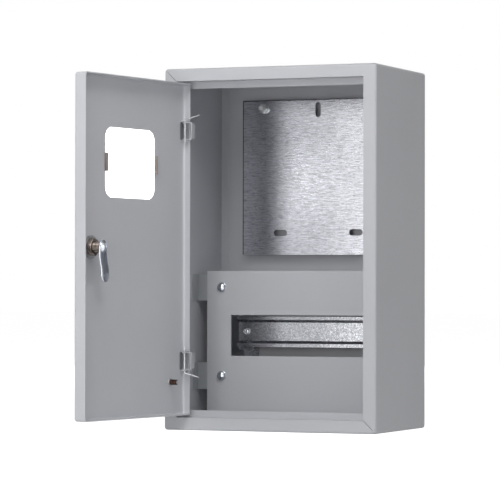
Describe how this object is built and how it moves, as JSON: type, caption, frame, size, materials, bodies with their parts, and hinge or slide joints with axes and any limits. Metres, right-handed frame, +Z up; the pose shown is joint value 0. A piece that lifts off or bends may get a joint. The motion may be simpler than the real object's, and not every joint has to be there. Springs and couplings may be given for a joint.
{
  "type": "electric meter box",
  "caption": "Wall-mounted steel meter box with a hinged windowed door and cam lock, slotted meter plate, breaker rail behind a screwed cover, and earth studs.",
  "frame": {"origin": "centre of the back panel's rear face, which lies on the wall", "axes": "+X right, +Y into the wall, +Z up"},
  "size_m": [0.2621, 0.3648, 0.4],
  "materials": {
    "powder_coat": "fine-textured light grey powder coat",
    "galvanised": "galvanised sheet",
    "zinc": "bright zinc plate",
    "steel": "bare steel",
    "chrome": "polished plate",
    "yellow_zinc": "yellow passivated",
    "copper": "copper plated",
    "brass": "bare brass",
    "clear_pane": "clear moulded plastic",
    "insulator": "moulded insulator"
  },
  "bodies": {
    "cabinet": {"back_panel": "powder_coat", "breaker_cover": "powder_coat", "cabinet_earth_stud": "copper", "cover_bracket_lower_left": "powder_coat", "cover_bracket_lower_right": "powder_coat", "cover_bracket_upper_left": "powder_coat", "cover_bracket_upper_right": "powder_coat", "cover_nut_lower_left": "zinc", "cover_nut_lower_right": "zinc", "cover_nut_upper_left": "zinc", "cover_nut_upper_right": "zinc", "cover_screw_lower_left": "zinc", "cover_screw_lower_right": "zinc", "cover_screw_upper_left": "zinc", "cover_screw_upper_right": "zinc", "din_rail": "galvanised", "hinge_bracket_lower": "powder_coat", "hinge_bracket_upper": "powder_coat", "hinge_pin_lower": "zinc", "hinge_pin_upper": "zinc", "meter_plate": "galvanised", "neutral_bar": "brass", "neutral_post_left": "insulator", "neutral_post_right": "insulator", "neutral_screw_1": "brass", "neutral_screw_2": "brass", "neutral_screw_3": "brass", "neutral_screw_4": "brass", "neutral_screw_5": "brass", "plate_nut_left": "zinc", "plate_nut_right": "zinc", "plate_spacer_left": "galvanised", "plate_spacer_right": "galvanised", "plate_stud_left": "zinc", "plate_stud_right": "zinc", "plate_washer_left": "zinc", "plate_washer_right": "zinc", "rail_bracket_left": "galvanised", "rail_bracket_right": "galvanised", "rail_nut_left": "zinc", "rail_nut_right": "zinc", "rail_screw_left": "zinc", "rail_screw_right": "zinc", "shell_left_bottom": "powder_coat", "shell_top_right": "powder_coat"},
    "door": {"door_panel": "powder_coat", "window_pane": "clear_pane", "door_earth_stud": "copper", "lock_housing": "chrome", "lock_nut": "yellow_zinc", "lock_washer": "steel"},
    "lock": {"lock_plug": "chrome", "lock_cam": "chrome", "cam_screw": "chrome"}
  },
  "joints": [
    {"name": "door_hinge", "type": "hinge", "parent": "cabinet", "child": "door", "pos_m": [-0.1025, -0.155, 0], "axis": [0, 0, -1], "range_deg": [-98, 10]},
    {"name": "lock_turn", "type": "hinge", "parent": "door", "child": "lock", "pos_m": [-0.12776, -0.33473, 0], "axis": [-0.9903, 0.1392, 0], "range_deg": [0, 90]}
  ]
}
